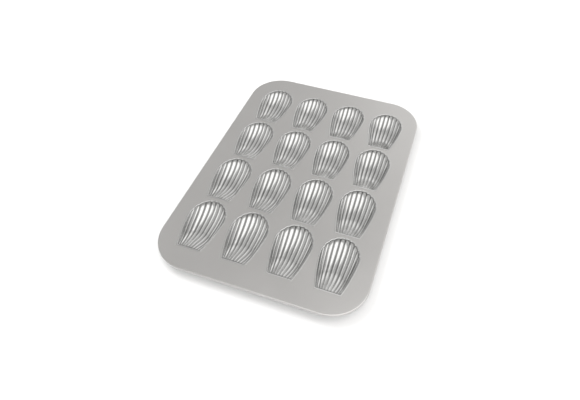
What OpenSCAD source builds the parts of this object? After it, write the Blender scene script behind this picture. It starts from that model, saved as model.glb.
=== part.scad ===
// Madeleine pan: sixteen fluted shell moulds locked into one frame sheet with a wired edge.
// Millimetres. The pan stands on its moulds, so z is 0 at their bottoms. x runs across the pan and
// y along it, from the moulds' hinge ends to their wide ends.

/* [Frame sheet] */
// Width of the pan over its curled edge
pan_w = 280; // [274:1:330]
// Length of the pan over its curled edge
pan_l = 400; // [392:1:460]
// Radius of the pan's corners in plan
corner_r = 50; // [30:1:60]
// Thickness of the frame sheet
sheet_t = 0.6; // [0.5:0.1:1]

/* [Rim wire] */
// Diameter of the wire in the curled edge
wire_d = 2; // [1.6:0.1:3]
// Room between the wire and the curl round it
wire_fit = 0.05; // [0.02:0.01:0.1]
// Angle that the curl turns through, from the top round the outside and back in
curl_turn = 290; // [240:5:300]

/* [Mould pattern] */
// Moulds across the pan
columns = 4; // [4:1:4]
// Moulds along the pan
rows = 4; // [4:1:4]
// Flat sheet left between neighbouring hollows across the pan
column_gap = 12.5; // [9:0.5:18]
// Flat sheet left between neighbouring hollows along the pan
row_gap = 7; // [6:0.5:14]

/* [Mould form] */
// Length of a mould's hollow, from hinge end to wide end
shell_l = 79; // [74:0.5:80]
// Greatest width of a mould's hollow
shell_w = 49; // [44:0.5:50]
// Width of the hollow at its hinge end
hinge_w = 31; // [26:0.5:34]
// Distance from the hinge end to the greatest width
belly_y = 50; // [46:0.5:54]
// Depth of the hollow below the top of the frame sheet
depth = 14.4; // [12:0.1:17]
// Depth of the small step at the hinge end
hinge_step = 2.4; // [2:0.1:3.5]
// Height of a ridge between two flutes at its highest
ridge_h = 2; // [1:0.1:2.4]
// How far the wide end dips in at each ridge
lobe = 1.1; // [0.4:0.1:1.5]
// Thickness of a mould's sheet
shell_t = 0.6; // [0.5:0.1:0.9]

/* [Mould seat] */
// How far a mould's rim lies over the frame sheet
rim_lap = 1; // [0.8:0.1:1.6]
// Room between a mould's wall and the edge of its opening
seat_fit = 0.1; // [0.05:0.05:0.3]
// Height of the locking bead under the frame sheet
bead_h = 1.2; // [0.8:0.1:1.6]
// How far the locking bead stands out past the opening
bead_lap = 0.8; // [0.5:0.1:1.2]

/* [Hidden] */
$fn = 96;

// The frame sheet's top face, at the height that lets the moulds stand on z = 0
top_z = depth + shell_t;
// Something longer than the pan, for cutting
far = pan_w + pan_l;

// The curled edge: inner and outer radius of the curl, and its centre line
curl_in = wire_d / 2 + wire_fit;
curl_out = curl_in + sheet_t;
curl_z = top_z - curl_out;
curl_bend = corner_r - curl_out;
lip = 2 * curl_out;

// The mould openings and what overlaps them, measured out from the hollow's edge
opening_out = shell_t + seat_fit;
rim_out = opening_out + rim_lap;
bead_out = opening_out + bead_lap;

// Flutes: q counts them across a mould from its centre line, with a ridge on each whole number
// short of the sides, which lie at q = side and q = -side
side = 5;
flat_flutes = 1;
last_ridge = side - 1;
flute_q = [for (k = [-last_ridge:last_ridge - 1]) for (s = [0:2]) k + s / 3];
edge_q = (side + last_ridge) / 2;
q_cols = concat([-side, -edge_q], flute_q, [last_ridge, edge_q, side]);

// Stations along a flute: t is 0 at the hinge end and 1 at the wide end, and the floor is level
// between the two deep stations
step_t = 0.02;
deep_start = 0.42;
deep_end = 0.68;
t_rows = [0, step_t, 0.22, deep_start, deep_end, 0.85, 0.96, 1];
last_q = len(q_cols) - 1;
last_t = len(t_rows) - 1;

// Plan of the hollow: how the flutes spread from the hinge end to the round wide end
spread_power = 1.08;
side_bulge = 0.6;
hinge_crowd = 0.2;
function end_angle(q) = sign(q) * 90 * pow(abs(q) / side, spread_power);
function hinge_x(q) = hinge_w / 2 * ((1 + hinge_crowd) * q / side - hinge_crowd * pow(q / side, 3));
function bulge(t) = t * (1 + side_bulge - side_bulge * t);
function wide_end(a, g) = [(shell_w / 2 + g) * sin(a), belly_y + (shell_l - belly_y + g) * cos(a)];
function ridge_share(q) = abs(q) < side ? max(0, 1 - abs(sin(180 * q)) / sin(60)) : 0;

function plan(q, t, g) = let (
    corner = abs(q) < side ? 1 : sin(45),
    hinge = [hinge_x(q) + g * corner * q / side, -g * corner],
    end = wide_end(end_angle(q), g - lobe * ridge_share(q))
) [hinge[0] + (end[0] - hinge[0]) * bulge(t), hinge[1] + (end[1] - hinge[1]) * t];

// Depth of the flutes' floors, as a share of the hollow's depth: along a flute, then across them
step_share = hinge_step / depth;
belly_power = 1.8;
hinge_power = 6;
function along(t) =
    t <= 0 ? 0
    : t < deep_start ? step_share + (1 - step_share) * sin(90 * t / deep_start)
    : t <= deep_end ? 1
    : sqrt(1 - pow((t - deep_end) / (1 - deep_end), 2));
function cross_power(t) = belly_power + (hinge_power - belly_power) * pow(1 - t, 4);
function across(q, t) =
    1 - pow(max(0, abs(q) - flat_flutes) / (side - flat_flutes), cross_power(t));

// Height of the face at a point, for a face that lies g outside the hollow
function face_z(q, t, g) = let (share = along(t) * across(q, t))
    ridge_h * ridge_share(q) * sqrt(share) - share * depth - g * min(1, share / step_share);

// The solid between that face and a flat lid
function on_edge(i, j) = i == 0 || i == last_t || j == 0 || j == last_q;
function at(i, j) = i * (last_q + 1) + j;

module fluted_form(g, lid_z) {
    points = [for (i = [0:last_t]) for (j = [0:last_q])
        let (p = plan(q_cols[j], t_rows[i], g))
        [p[0], p[1], on_edge(i, j) ? lid_z : face_z(q_cols[j], t_rows[i], g)]];
    face = [for (i = [0:last_t - 1]) for (j = [0:last_q - 1]) for (half = [0, 1])
        half == 0 ? [at(i, j), at(i, j + 1), at(i + 1, j + 1)]
        : [at(i, j), at(i + 1, j + 1), at(i + 1, j)]];
    lid = [for (j = [1:last_q - 2]) for (half = [0, 1])
        half == 0 ? [at(0, j), at(last_t, j), at(last_t, j + 1)]
        : [at(0, j), at(last_t, j + 1), at(0, j + 1)]];
    lid_sides = [for (i = [0:last_t - 1]) for (right = [0, 1])
        right == 0 ? [at(0, 1), at(i, 0), at(i + 1, 0)]
        : [at(0, last_q - 1), at(i + 1, last_q), at(i, last_q)]];
    lid_ends = [
        [at(0, 1), at(last_t, 0), at(last_t, 1)],
        [at(0, last_q - 1), at(last_t, last_q - 1), at(last_t, last_q)]
    ];
    polyhedron(points = points, faces = concat(face, lid, lid_sides, lid_ends));
}

// Smooth outline that lies g outside the hollow's edge, without the lobes
edge_steps = 8;
arc_steps = 32;
module mould_outline(g) {
    right = [for (i = [0:edge_steps - 1]) let (t = i / edge_steps)
        [hinge_w / 2 + (shell_w - hinge_w) / 2 * bulge(t) + g, belly_y * t]];
    end = [for (i = [0:arc_steps]) wide_end(90 - 180 * i / arc_steps, g)];
    left = [for (i = [edge_steps - 1:-1:0]) [-right[i][0], right[i][1]]];
    polygon(concat([[-hinge_w / 2, -g], [hinge_w / 2, -g]], right, end, left));
    for (s = [-1, 1])
        translate([s * hinge_w / 2, 0]) circle(g);
}

module mould_slab(g, low, high) {
    translate([0, 0, low]) linear_extrude(high - low) mould_outline(g);
}

// One mould, with z = 0 at the frame sheet's top face: its rim above the sheet, its locking bead
// below it and its fluted wall, all hollowed by the same fluted form
module mould() {
    difference() {
        union() {
            mould_slab(rim_out, 0, shell_t);
            mould_slab(bead_out, -sheet_t - bead_h, -sheet_t);
            fluted_form(shell_t, shell_t / 2);
        }
        fluted_form(0, 1.5 * shell_t);
    }
}

// Places of the moulds: the pattern is centred on the pan
pitch_x = shell_w + column_gap;
pitch_y = shell_l + row_gap;
function mould_x(c) = (c - (columns + 1) / 2) * pitch_x;
function mould_y(r) = (r - (rows + 1) / 2) * pitch_y - shell_l / 2;

module mould_at(r, c) {
    translate([mould_x(c), mould_y(r), top_z]) color("silver") mould();
}

// Rounded rectangle that lies g outside the wire's centre line
module pan_outline(g) {
    w = pan_w - 2 * curl_out;
    l = pan_l - 2 * curl_out;
    square([w - 2 * curl_bend, l + 2 * g], center = true);
    square([w + 2 * g, l - 2 * curl_bend], center = true);
    for (x = [-1, 1]) for (y = [-1, 1])
        translate([x * (w / 2 - curl_bend), y * (l / 2 - curl_bend)]) circle(curl_bend + g);
}

// Runs a profile round the pan's edge: its x is out from the wire's centre line, its y is up
module round_edge() {
    straight_x = pan_w / 2 - corner_r;
    straight_y = pan_l / 2 - corner_r;
    for (turn = [0, 180]) rotate(turn) {
        translate([straight_x + curl_bend, straight_y, curl_z])
            rotate([90, 0, 0]) linear_extrude(2 * straight_y) children();
        translate([-straight_x, straight_y + curl_bend, curl_z])
            rotate([90, 0, 90]) linear_extrude(2 * straight_x) children();
        translate([straight_x, straight_y, curl_z])
            rotate_extrude(angle = 90) translate([curl_bend, 0]) children();
        translate([-straight_x, straight_y, curl_z])
            rotate(90) rotate_extrude(angle = 90) translate([curl_bend, 0]) children();
    }
}

module curl_profile() {
    difference() {
        circle(curl_out);
        circle(curl_in);
        polygon([[0, 0], [0, far], [-far, far], far * [cos(90 - curl_turn), sin(90 - curl_turn)]]);
    }
    translate([-lip, curl_in]) square([lip, sheet_t]);
}

module frame_sheet() {
    color("gray") {
        difference() {
            translate([0, 0, top_z - sheet_t]) linear_extrude(sheet_t) pan_outline(-lip / 2);
            for (r = [1:rows]) for (c = [1:columns])
                translate([mould_x(c), mould_y(r), top_z]) mould_slab(opening_out, -2 * sheet_t, sheet_t);
        }
        round_edge() curl_profile();
    }
}

module rim_wire() {
    color("dimgray") round_edge() circle(wire_d / 2);
}

frame_sheet();
rim_wire();
for (r = [1:rows]) for (c = [1:columns])
    mould_at(r, c);
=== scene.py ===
import math

import bpy
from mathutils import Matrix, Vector


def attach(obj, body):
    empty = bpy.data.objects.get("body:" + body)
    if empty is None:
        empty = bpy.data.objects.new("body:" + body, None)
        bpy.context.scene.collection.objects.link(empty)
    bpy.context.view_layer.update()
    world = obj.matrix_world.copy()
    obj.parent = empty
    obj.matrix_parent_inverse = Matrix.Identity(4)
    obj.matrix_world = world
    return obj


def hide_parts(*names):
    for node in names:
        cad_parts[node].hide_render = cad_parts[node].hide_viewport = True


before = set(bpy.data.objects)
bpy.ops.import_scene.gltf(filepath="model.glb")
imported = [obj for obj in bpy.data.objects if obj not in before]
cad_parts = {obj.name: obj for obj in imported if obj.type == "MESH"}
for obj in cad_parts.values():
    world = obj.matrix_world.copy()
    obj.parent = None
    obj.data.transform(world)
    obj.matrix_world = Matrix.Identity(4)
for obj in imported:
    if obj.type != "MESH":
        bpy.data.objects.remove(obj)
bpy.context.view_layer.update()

# Sizes of the pan, in metres, as the solids have them
COLUMNS, ROWS = 4, 4
PITCH_X, PITCH_Y = 0.0615, 0.086
SHELL_L, SHELL_W, HINGE_W, BELLY_Y = 0.079, 0.049, 0.031, 0.050
DEPTH, HINGE_STEP, RIDGE_H, LOBE = 0.0144, 0.0024, 0.0020, 0.0011
SHELL_T, SHEET_T, SEAT_FIT, RIM_LAP = 0.0006, 0.0006, 0.0001, 0.001
BEAD_H, BEAD_LAP = 0.0012, 0.0008
TOP_Z = DEPTH + SHELL_T

# Flutes are counted by q across a mould, from -SIDE to SIDE, with a ridge on each whole number
SIDE = 5
FLAT_FLUTES = 1
# Plan: how the flutes spread at the wide end, crowd at the hinge end, and bulge on their way
SPREAD_POWER = 1.08
HINGE_CROWD = 0.2
SIDE_BULGE = 0.6
# Stations t along a flute, 0 at the hinge end and 1 at the wide end: the small step ends, and the
# level floor starts and ends. RAMP_LEAD is how steep the floor starts, next to an even ramp.
STEP_T, DEEP_START, DEEP_END = 0.02, 0.47, 0.55
RAMP_LEAD = 1.35
# Section across a mould: the power of its curve at the wide end, and what the hinge end adds
BELLY_POWER, HINGE_POWER, HINGE_FADE = 1.8, 4.2, 4
# Ridges: how round the crest is, how sharply a ridge rises from the flutes beside it, and how far
# and how much the ridges die away towards the hinge's middle
CREST_ROUND = 0.05
RIDGE_POWER = 2.6
CALM_LENGTH, CALM_WIDTH, CALM_SHARE = 0.62, 3.4, 0.85

# Painted shade: its half width along a ridge, in flutes; the station, half width and strength of
# the painted shadow behind the hinge step; and how much all of them darken the metal, and to what
# colour
RIDGE_SHADE_WIDTH = 0.11
HINGE_SHADOW_AT, HINGE_SHADOW_WIDTH, HINGE_SHADOW_STRENGTH = 0.024, 0.010, 0.8
PAINTED_SHADE_STRENGTH = 0.92
PAINTED_SHADE_TONE = (0.14, 0.138, 0.135)

# How finely a mould's face is divided: across each flute, and along it
FLUTE_STEPS = 12
ALONG_STEPS = 72

# Rim and bead, in metres: how deep the fluted face starts, the rounding from it up to the rim's
# top as steps out and up, the play of the neck in its opening, and the radius of the bead's edge
FACE_DROP = 0.0002
RIM_START = ((0.00005, 0.0002), (0.0002, 0.00045), (0.00045, SHELL_T))
NECK_PLAY = 0.00015
BEAD_ROUND = 0.0003
RIM_TURN = (0.6, 1.2, 1.9, 2.5)
BEAD_TURN = (0.5, 1.0, math.pi / 2, 2.1, 2.6)

# Sheet metals: dark and light tone, lowest and highest roughness, bump, and how metallic
SHEET_METAL = ((0.57, 0.56, 0.55), (0.61, 0.60, 0.59), (0.27, 0.33), 0.03, 0.9)
# The moulds are the same metal as the frame sheet; their lighter tones are a painted highlight
MOULD_METAL = ((0.66, 0.66, 0.655), (0.70, 0.70, 0.695), (0.12, 0.18), 0.03, 0.98)
WIRE_METAL = ((0.45, 0.45, 0.45), (0.50, 0.50, 0.50), (0.35, 0.45), 0.05, 1.0)
MOTTLE_DETAIL, GRAIN_DETAIL, GRAIN_HEIGHT = 4, 3, 0.0002

# The camera that took the photograph
CAMERA_PLACE = (0.1489, -0.4311, 0.5081)
CAMERA_TURN = (0.6890, -0.0063, 0.3373)
CAMERA_SENSOR = 36
CAMERA_LENS = 28.81
CAMERA_SHIFT = -0.0208

# Sky: a wide overhead light that leans towards the camera's right. Its tones go by how far a
# direction leans that way, from -1 to 1.
SKY_COLOUR = (1.0, 0.995, 0.985, 1)
SKY_TOWARDS = (0.42, -0.22, 0.88)
SKY_TONES = ((-0.45, 0.13), (0.05, 0.62), (0.38, 0.60), (0.63, 0.50), (0.78, 1.50), (1.0, 1.60))
SKY_PEAK = 1.6
# A softer glow low over the far right corner: its direction, the lean from which it starts, and
# what it adds
GLOW_TOWARDS, GLOW_FROM, GLOW = (0.25, 0.85, 0.46), 0.85, 0.62
FLOOR_REACH = 6.0
FLOOR_TONE = 0.86
FLOOR_LIFT = 0.05
# Lamps that the metal doesn't mirror: name, place, size and power
LAMPS = (
    ("back_left", (-1.2, 0.40, 1.35), 1.0, 14.0),
    ("front", (0.35, -1.5, 1.10), 1.6, 6.0),
)
LAMPS_AIM = (0.0, 0.0, 0.01)

# Sockets of a colour Mix node
MIX_SHARE, MIX_FIRST, MIX_SECOND, MIX_RESULT = 0, 6, 7, 2


def end_angle(q):
    return math.copysign(math.pi / 2 * (abs(q) / SIDE) ** SPREAD_POWER, q)


def hinge_x(q):
    u = q / SIDE
    return HINGE_W / 2 * ((1 + HINGE_CROWD) * u - HINGE_CROWD * u ** 3)


def ridge_share(q):
    """Share of a ridge's height at q: 1 on a crest, 0 in the middle of a flute and at the sides."""
    if abs(q) >= SIDE - 0.5:
        return 0.0
    wave = math.sqrt(math.sin(math.pi * q) ** 2 + CREST_ROUND ** 2)
    low = math.sqrt(1 + CREST_ROUND ** 2) - CREST_ROUND
    return max(0.0, 1 - (wave - CREST_ROUND) / low) ** RIDGE_POWER


def ridge_size(q, t):
    """How high a ridge stands: less near the middle of the hinge end."""
    calm = max(0.0, 1 - t / CALM_LENGTH) ** 2 * max(0.0, 1 - abs(q) / CALM_WIDTH)
    return 1 - CALM_SHARE * calm


def painted_shade_lines(q, t):
    """Strength of the painted shade lines: painted shade along each ridge's crest, and a painted
    shadow behind the step at the hinge.
    """
    # Painted shadow on the floor just behind the hinge step
    behind = (t - HINGE_SHADOW_AT) / HINGE_SHADOW_WIDTH
    line = HINGE_SHADOW_STRENGTH * math.exp(-behind * behind)
    if abs(q) <= SIDE - 0.5:
        off = (q - round(q)) / RIDGE_SHADE_WIDTH
        line = max(line, math.exp(-off * off) * ridge_size(q, t) ** 2)
    return line


def plan(q, t, g):
    """Plan of the fluted face at flute position q and station t, grown outwards by g."""
    a = end_angle(q)
    corner = 1 if abs(q) < SIDE else math.sin(math.pi / 4)
    reach = g - LOBE * ridge_share(q)
    hx, hy = hinge_x(q) + g * corner * q / SIDE, -g * corner
    ex = (SHELL_W / 2 + reach) * math.sin(a)
    ey = BELLY_Y + (SHELL_L - BELLY_Y + reach) * math.cos(a)
    return hx + (ex - hx) * t * (1 + SIDE_BULGE - SIDE_BULGE * t), hy + (ey - hy) * t


def along(t):
    """Share of the full depth along a flute: the hinge step, the ramp, the level floor, the end."""
    share = HINGE_STEP / DEPTH
    if t <= STEP_T:
        return share * math.sin(math.pi / 2 * t / STEP_T)
    if t < DEEP_START:
        u = (t - STEP_T) / (DEEP_START - STEP_T)
        easing = RAMP_LEAD - 1
        return share + (1 - share) * (RAMP_LEAD * u - easing * u ** (RAMP_LEAD / easing))
    if t <= DEEP_END:
        return 1.0
    return math.sqrt(max(0.0, 1 - ((t - DEEP_END) / (1 - DEEP_END)) ** 2))


def across(q, t):
    """Share of the depth at t that the floor has at q."""
    power = BELLY_POWER + HINGE_POWER * (1 - t) ** HINGE_FADE
    return 1 - (max(0.0, abs(q) - FLAT_FLUTES) / (SIDE - FLAT_FLUTES)) ** power


def face_z(q, t, g):
    """Height of the fluted face, or of its back where g is the sheet's thickness."""
    share = along(t) * across(q, t)
    sheet = g * min(1.0, share / (HINGE_STEP / DEPTH))
    return RIDGE_H * ridge_size(q, t) * ridge_share(q) * math.sqrt(share) - share * DEPTH - sheet


def eased(n, i):
    """Stations that crowd towards both ends of a flute, where its face is steep."""
    return 0.5 - 0.5 * math.cos(math.pi * i / n)


def rim_profile():
    """The rim and the bead, from the fluted face round to its back: steps out and up."""
    out = SHELL_T + SEAT_FIT
    round_rim = SHELL_T / 2
    rim = out + RIM_LAP - round_rim
    neck = out - NECK_PLAY
    bead = out + BEAD_LAP - BEAD_ROUND
    bead_z = -SHEET_T - BEAD_H / 2
    profile = [*RIM_START, (rim, SHELL_T)]
    profile += [(rim + round_rim * math.sin(a), round_rim + round_rim * math.cos(a))
                for a in RIM_TURN]
    profile += [(rim, 0.0), (neck, 0.0), (neck, -SHEET_T), (bead, -SHEET_T)]
    profile += [(bead + BEAD_ROUND * math.sin(a), bead_z + BEAD_H / 2 * math.cos(a))
                for a in BEAD_TURN]
    return profile


def mould_mesh(name, place):
    """One drawn mould: fluted face, rounded rim on the sheet, bead below it and fluted back."""
    columns = 2 * SIDE * FLUTE_STEPS
    qs = [SIDE * (2 * i / columns - 1) for i in range(columns + 1)]
    ts = [eased(ALONG_STEPS, i) for i in range(ALONG_STEPS + 1)]
    last_q, last_t = len(qs) - 1, len(ts) - 1
    verts, faces = [], []

    def add(x, y, z):
        verts.append((place[0] + x, place[1] + y, place[2] + z))
        return len(verts) - 1

    # Grid positions round the edge, once round
    edge = [(0, j) for j in range(last_q + 1)] + [(i, last_q) for i in range(1, last_t + 1)]
    edge += [(last_t, j) for j in range(last_q - 1, -1, -1)]
    edge += [(i, 0) for i in range(last_t - 1, 0, -1)]

    def grid(g, edge_z, flip):
        """Adds the face grown by g and gives the points of its edge."""
        start = len(verts)
        for i, t in enumerate(ts):
            for j, q in enumerate(qs):
                on_edge = i in (0, last_t) or j in (0, last_q)
                add(*plan(q, t, g), edge_z if on_edge else min(edge_z, face_z(q, t, g)))
        for i in range(last_t):
            for j in range(last_q):
                a = start + i * (last_q + 1) + j
                b = a + last_q + 1
                quad = (a, a + 1, b + 1, b)
                faces.append(quad[::-1] if flip else quad)
        return [start + i * (last_q + 1) + j for i, j in edge]

    loops = [grid(0.0, -FACE_DROP, False)]
    for g, z in rim_profile():
        loops.append([add(*plan(qs[j], ts[i], g), z) for i, j in edge])
    loops.append(grid(SHELL_T, -SHEET_T - BEAD_H, True))
    for low, high in zip(loops, loops[1:]):
        for k in range(len(low)):
            n = (k + 1) % len(low)
            faces.append((low[n], low[k], high[k], high[n]))
    mesh = bpy.data.meshes.new(name)
    mesh.from_pydata(verts, [], faces)
    mesh.validate()
    # The fluted face comes first among the points, and the rest has no painted shade lines
    lines = [painted_shade_lines(q, t) for t in ts for q in qs]
    shade = mesh.attributes.new("painted_shade_lines", "FLOAT", "POINT")
    shade.data.foreach_set("value", lines + [0.0] * (len(mesh.vertices) - len(lines)))
    for polygon in mesh.polygons:
        polygon.use_smooth = True
    piece = bpy.data.objects.new(name, mesh)
    bpy.context.scene.collection.objects.link(piece)
    return piece


def grain_group():
    """Rolled-sheet grain: faint mottling of colour and roughness, and a fine bump."""
    group = bpy.data.node_groups.new("rolled_sheet_grain", "ShaderNodeTree")
    number, colour, vector = "NodeSocketFloat", "NodeSocketColor", "NodeSocketVector"
    for label, kind, value in (
        ("Mottle Scale", number, 18.0),
        ("Grain Scale", number, 900.0),
        ("Bump", number, 0.1),
        ("Dark", colour, (0.5, 0.5, 0.5, 1)),
        ("Light", colour, (0.6, 0.6, 0.6, 1)),
        ("Rough Low", number, 0.3),
        ("Rough High", number, 0.4),
    ):
        entry = group.interface.new_socket(label, in_out="INPUT", socket_type=kind)
        entry.default_value = value
    for label, kind in (("Color", colour), ("Roughness", number), ("Normal", vector)):
        group.interface.new_socket(label, in_out="OUTPUT", socket_type=kind)
    nodes, link = group.nodes, group.links.new
    entry, leave = nodes.new("NodeGroupInput"), nodes.new("NodeGroupOutput")
    place = nodes.new("ShaderNodeTexCoord")
    mottle, grain = nodes.new("ShaderNodeTexNoise"), nodes.new("ShaderNodeTexNoise")
    mottle.inputs["Detail"].default_value = MOTTLE_DETAIL
    grain.inputs["Detail"].default_value = GRAIN_DETAIL
    link(place.outputs["Object"], mottle.inputs["Vector"])
    link(place.outputs["Object"], grain.inputs["Vector"])
    link(entry.outputs["Mottle Scale"], mottle.inputs["Scale"])
    link(entry.outputs["Grain Scale"], grain.inputs["Scale"])
    tone = nodes.new("ShaderNodeMix")
    tone.data_type = "RGBA"
    link(mottle.outputs["Fac"], tone.inputs[MIX_SHARE])
    link(entry.outputs["Dark"], tone.inputs[MIX_FIRST])
    link(entry.outputs["Light"], tone.inputs[MIX_SECOND])
    rough = nodes.new("ShaderNodeMapRange")
    link(mottle.outputs["Fac"], rough.inputs["Value"])
    link(entry.outputs["Rough Low"], rough.inputs["To Min"])
    link(entry.outputs["Rough High"], rough.inputs["To Max"])
    bump = nodes.new("ShaderNodeBump")
    bump.inputs["Distance"].default_value = GRAIN_HEIGHT
    link(grain.outputs["Fac"], bump.inputs["Height"])
    link(entry.outputs["Bump"], bump.inputs["Strength"])
    link(tone.outputs[MIX_RESULT], leave.inputs["Color"])
    link(rough.outputs["Result"], leave.inputs["Roughness"])
    link(bump.outputs["Normal"], leave.inputs["Normal"])
    return group


def sheet_metal(name, group, dark, light, rough, bump, metallic):
    """Satin sheet metal with the rolled grain."""
    material = bpy.data.materials.new(name)
    material.use_nodes = True
    nodes, link = material.node_tree.nodes, material.node_tree.links.new
    shader = nodes["Principled BSDF"]
    shader.inputs["Metallic"].default_value = metallic
    grain = nodes.new("ShaderNodeGroup")
    grain.node_tree = group
    grain.inputs["Dark"].default_value = (*dark, 1)
    grain.inputs["Light"].default_value = (*light, 1)
    grain.inputs["Rough Low"].default_value = rough[0]
    grain.inputs["Rough High"].default_value = rough[1]
    grain.inputs["Bump"].default_value = bump
    link(grain.outputs["Color"], shader.inputs["Base Color"])
    link(grain.outputs["Roughness"], shader.inputs["Roughness"])
    link(grain.outputs["Normal"], shader.inputs["Normal"])
    return material


def paint_ridge_and_hinge_shade(material):
    """Paints shade into a mould's metal colour along its ridges, and a painted shadow behind its
    hinge step.
    """
    nodes, link = material.node_tree.nodes, material.node_tree.links.new
    shader = nodes["Principled BSDF"]
    plain = shader.inputs["Base Color"].links[0].from_socket
    line = nodes.new("ShaderNodeAttribute")
    line.attribute_name = "painted_shade_lines"
    share = nodes.new("ShaderNodeMath")
    share.operation = "MULTIPLY"
    share.inputs[1].default_value = PAINTED_SHADE_STRENGTH
    link(line.outputs["Fac"], share.inputs[0])
    blend = nodes.new("ShaderNodeMix")
    blend.data_type = "RGBA"
    link(share.outputs[0], blend.inputs[MIX_SHARE])
    link(plain, blend.inputs[MIX_FIRST])
    blend.inputs[MIX_SECOND].default_value = (*PAINTED_SHADE_TONE, 1)
    # The mould's colour darkened towards a dark tone where the painted shade and painted shadow lie
    link(blend.outputs[MIX_RESULT], shader.inputs["Base Color"])


def dress(piece, material):
    if not piece.material_slots:
        piece.data.materials.append(material)
    for slot in piece.material_slots:
        slot.material = material


def seen_or_mirrored(nodes, link):
    """1 for rays from the camera, a mirroring face or glass, 0 for rays that light the object."""
    path = nodes.new("ShaderNodeLightPath")
    ray = path.outputs["Is Camera Ray"]
    for other in ("Is Glossy Ray", "Is Transmission Ray"):
        either = nodes.new("ShaderNodeMath")
        either.operation = "MAXIMUM"
        link(ray, either.inputs[0])
        link(path.outputs[other], either.inputs[1])
        ray = either.outputs[0]
    return ray


def make_sky():
    world = bpy.data.worlds.new("studio")
    bpy.context.scene.world = world
    world.use_nodes = True
    nodes, link = world.node_tree.nodes, world.node_tree.links.new
    nodes.clear()
    place = nodes.new("ShaderNodeTexCoord")

    def lean_towards(direction):
        dot = nodes.new("ShaderNodeVectorMath")
        dot.operation = "DOT_PRODUCT"
        dot.inputs[1].default_value = direction
        link(place.outputs["Generated"], dot.inputs[0])
        return dot.outputs["Value"]

    lean = nodes.new("ShaderNodeMapRange")
    lean.inputs["From Min"].default_value = -1
    link(lean_towards(SKY_TOWARDS), lean.inputs["Value"])
    tones = nodes.new("ShaderNodeValToRGB")
    tones.color_ramp.interpolation = "EASE"
    stops = tones.color_ramp.elements
    while len(stops) < len(SKY_TONES):
        stops.new(0.5)
    for stop, (where, tone) in zip(stops, SKY_TONES):
        stop.position = where / 2 + 0.5
        level = tone / SKY_PEAK
        stop.color = (level, level, level, 1)
    link(lean.outputs["Result"], tones.inputs["Fac"])
    strength = nodes.new("ShaderNodeMath")
    strength.operation = "MULTIPLY"
    strength.inputs[1].default_value = SKY_PEAK
    link(tones.outputs["Color"], strength.inputs[0])
    glow = nodes.new("ShaderNodeMapRange")
    glow.interpolation_type = "SMOOTHSTEP"
    glow.inputs["From Min"].default_value = GLOW_FROM
    glow.inputs["To Max"].default_value = GLOW
    link(lean_towards(GLOW_TOWARDS), glow.inputs["Value"])
    total = nodes.new("ShaderNodeMath")
    total.operation = "ADD"
    link(strength.outputs[0], total.inputs[0])
    link(glow.outputs["Result"], total.inputs[1])
    sky, leave = nodes.new("ShaderNodeBackground"), nodes.new("ShaderNodeOutputWorld")
    sky.inputs["Color"].default_value = SKY_COLOUR
    link(total.outputs[0], sky.inputs["Strength"])
    link(sky.outputs[0], leave.inputs["Surface"])


def make_floor():
    """A white matt floor that keeps the pan's shadow, lifted a little where it is seen."""
    mesh = bpy.data.meshes.new("floor")
    r = FLOOR_REACH
    mesh.from_pydata([(-r, -r, 0), (r, -r, 0), (r, r, 0), (-r, r, 0)], [], [(0, 1, 2, 3)])
    floor = bpy.data.objects.new("floor", mesh)
    bpy.context.scene.collection.objects.link(floor)
    material = bpy.data.materials.new("white_floor")
    material.use_nodes = True
    nodes, link = material.node_tree.nodes, material.node_tree.links.new
    nodes.clear()
    matt, lift = nodes.new("ShaderNodeBsdfDiffuse"), nodes.new("ShaderNodeEmission")
    matt.inputs["Color"].default_value = (FLOOR_TONE, FLOOR_TONE, FLOOR_TONE, 1)
    strength = nodes.new("ShaderNodeMath")
    strength.operation = "MULTIPLY"
    strength.inputs[1].default_value = FLOOR_LIFT
    link(seen_or_mirrored(nodes, link), strength.inputs[0])
    link(strength.outputs[0], lift.inputs["Strength"])
    both, leave = nodes.new("ShaderNodeAddShader"), nodes.new("ShaderNodeOutputMaterial")
    link(matt.outputs[0], both.inputs[0])
    link(lift.outputs[0], both.inputs[1])
    link(both.outputs[0], leave.inputs["Surface"])
    floor.data.materials.append(material)


def make_lamps():
    for name, place, size, power in LAMPS:
        lamp = bpy.data.lights.new(name, "AREA")
        lamp.size = size
        lamp.energy = power
        rig = bpy.data.objects.new(name, lamp)
        rig.location = place
        rig.visible_glossy = False
        towards = Vector(LAMPS_AIM) - Vector(place)
        rig.rotation_euler = towards.to_track_quat("-Z", "Y").to_euler()
        bpy.context.scene.collection.objects.link(rig)


def make_camera():
    data = bpy.data.cameras.new("camera")
    data.sensor_width = CAMERA_SENSOR
    data.sensor_fit = "HORIZONTAL"
    data.lens = CAMERA_LENS
    data.shift_x = CAMERA_SHIFT
    camera = bpy.data.objects.new("camera", data)
    camera.location = CAMERA_PLACE
    camera.rotation_euler = CAMERA_TURN
    bpy.context.scene.collection.objects.link(camera)
    bpy.context.scene.camera = camera


make_camera()
grain = grain_group()
sheet = sheet_metal("satin_frame_sheet", grain, *SHEET_METAL)
drawn = sheet_metal("satin_drawn_mould", grain, *MOULD_METAL)
wire = sheet_metal("drawn_wire", grain, *WIRE_METAL)
paint_ridge_and_hinge_shade(drawn)
dress(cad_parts["frame_sheet"], sheet)
dress(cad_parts["rim_wire"], wire)
for row in range(1, ROWS + 1):
    for column in range(1, COLUMNS + 1):
        node = f"shell_row{row}_col{column}"
        x = (column - (COLUMNS + 1) / 2) * PITCH_X
        y = (row - (ROWS + 1) / 2) * PITCH_Y - SHELL_L / 2
        mould = mould_mesh(f"fluted_{node}", (x, y, TOP_Z))
        dress(mould, drawn)
        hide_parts(node)
        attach(mould, "root")
make_sky()
make_floor()
make_lamps()
bpy.context.scene.view_settings.view_transform = "Standard"
